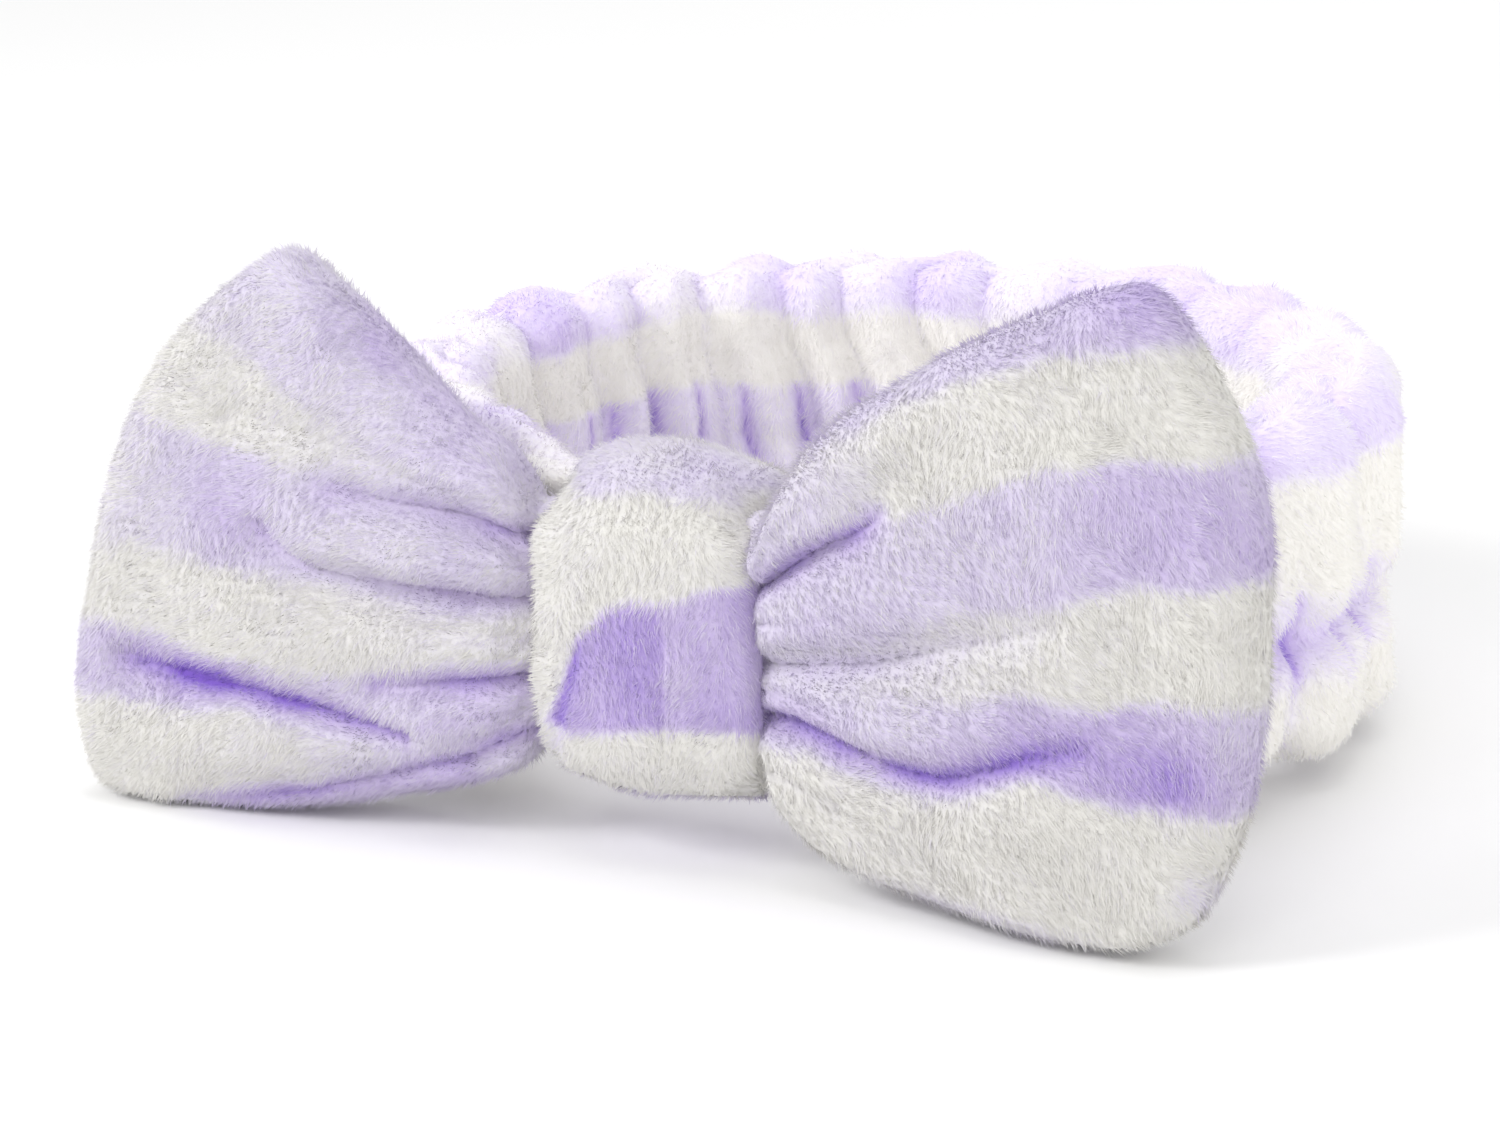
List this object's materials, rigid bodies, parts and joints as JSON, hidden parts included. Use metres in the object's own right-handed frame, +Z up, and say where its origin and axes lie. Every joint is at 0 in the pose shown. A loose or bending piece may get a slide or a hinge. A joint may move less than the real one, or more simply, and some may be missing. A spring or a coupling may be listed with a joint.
{
  "type": "spa headband",
  "caption": "Stretch ring of ruched plush fleece over a flat elastic, with a large padded two-wing bow held by a plush knot strip, standing on its edge.",
  "frame": {"origin": "middle of the whole object's box, on the flat surface that the band's lower edge and the wings' lower corners stand on", "axes": "+X from the middle towards the right wing as seen from the front, +Y from the bow towards the back of the band, +Z up, along the axis of the head opening"},
  "size_m": [0.19, 0.1706, 0.094],
  "materials": {
    "fleece_band": "plush",
    "fleece_bow": "plush",
    "fleece_knot": "plush",
    "elastic": "knitted",
    "wadding": "fibre",
    "thread": "spun"
  },
  "bodies": {
    "front": {"sleeve_front": "fleece_band", "sleeve_left": "fleece_band", "sleeve_right": "fleece_band", "elastic_tail_left": "elastic", "elastic_tail_right": "elastic", "elastic_left": "elastic", "elastic_right": "elastic", "elastic_join_stitches": "thread", "sleeve_join_stitches": "thread", "bow_centre_gather": "fleece_bow", "cinch_thread": "thread", "knot_loop": "fleece_knot", "knot_closing_stitches": "thread"},
    "back": {"sleeve_back": "fleece_band", "elastic_back": "elastic", "sleeve_seam_stitches": "thread"},
    "left_wing": {"left_wing_front_panel": "fleece_bow", "left_wing_back_panel": "fleece_bow", "left_wing_wadding": "wadding", "left_wing_seam_stitches": "thread"},
    "right_wing": {"right_wing_front_panel": "fleece_bow", "right_wing_back_panel": "fleece_bow", "right_wing_wadding": "wadding", "right_wing_seam_stitches": "thread"}
  },
  "joints": [
    {"name": "band_stretch", "type": "slide", "parent": "front", "child": "back", "axis": [0, 1, 0], "range_m": [0, 0.09], "stiffness_N_per_m": 40, "deforming": ["sleeve_left", "sleeve_right", "elastic_left", "elastic_right"]},
    {"name": "left_wing_flex", "type": "hinge", "parent": "front", "child": "left_wing", "pos_m": [-0.019, -0.07167, 0.035], "axis": [0, 0, 1], "range_deg": [-6, 38], "stiffness_Nm_per_rad": 0.01},
    {"name": "right_wing_flex", "type": "hinge", "parent": "front", "child": "right_wing", "pos_m": [0.019, -0.07167, 0.035], "axis": [0, 0, -1], "range_deg": [-6, 38], "stiffness_Nm_per_rad": 0.01}
  ]
}
